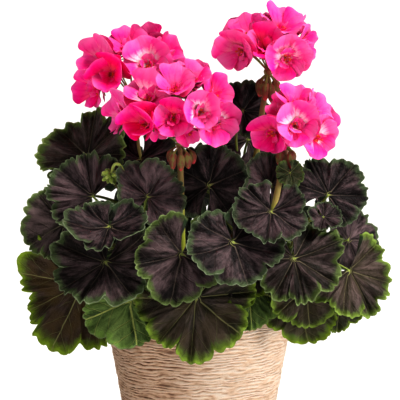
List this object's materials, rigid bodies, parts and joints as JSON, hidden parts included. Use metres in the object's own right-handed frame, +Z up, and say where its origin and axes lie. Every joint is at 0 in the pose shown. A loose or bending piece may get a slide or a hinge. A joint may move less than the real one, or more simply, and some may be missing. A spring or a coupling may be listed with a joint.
{
  "type": "potted pelargonium",
  "caption": "Flowering pelargonium with dark zoned round leaves and dense heads of pink flowers, growing in a round tapered stoneware pot with a combed side.",
  "frame": {"origin": "middle of the pot's flat bottom, on the surface that it stands on", "axes": "Z up along the pot's axis, X to the right of the side shown in the picture, Y away from the viewer, so the plant's face looks along -Y"},
  "size_m": [0.36, 0.3351, 0.4554],
  "materials": {
    "pot": "matt sandy stoneware with rough combed ridges",
    "soil": "matt crumbly bark and peat potting soil",
    "foliage": "soft matt leaf with a dark zone and a green edge",
    "flower_stalk": "matt downy stalk",
    "petals": "soft satin petals",
    "green_buds": "matt downy buds"
  },
  "bodies": {
    "root": {"pot": "pot", "soil": "soil", "leafy_stem_1": "foliage", "leafy_stem_2": "foliage", "leafy_stem_3": "foliage", "leafy_stem_4": "foliage", "leafy_stem_5": "foliage", "leafy_stem_6": "foliage", "leafy_stem_7": "foliage", "leafy_stem_8": "foliage", "leafy_stem_9": "foliage", "flower_stalk_1": "flower_stalk", "flower_stalk_2": "flower_stalk", "flower_stalk_3": "flower_stalk", "flower_stalk_4": "flower_stalk", "flowers_1": "petals", "flowers_2": "petals", "flowers_3": "petals", "flowers_4": "petals", "young_buds": "green_buds"}
  },
  "joints": []
}
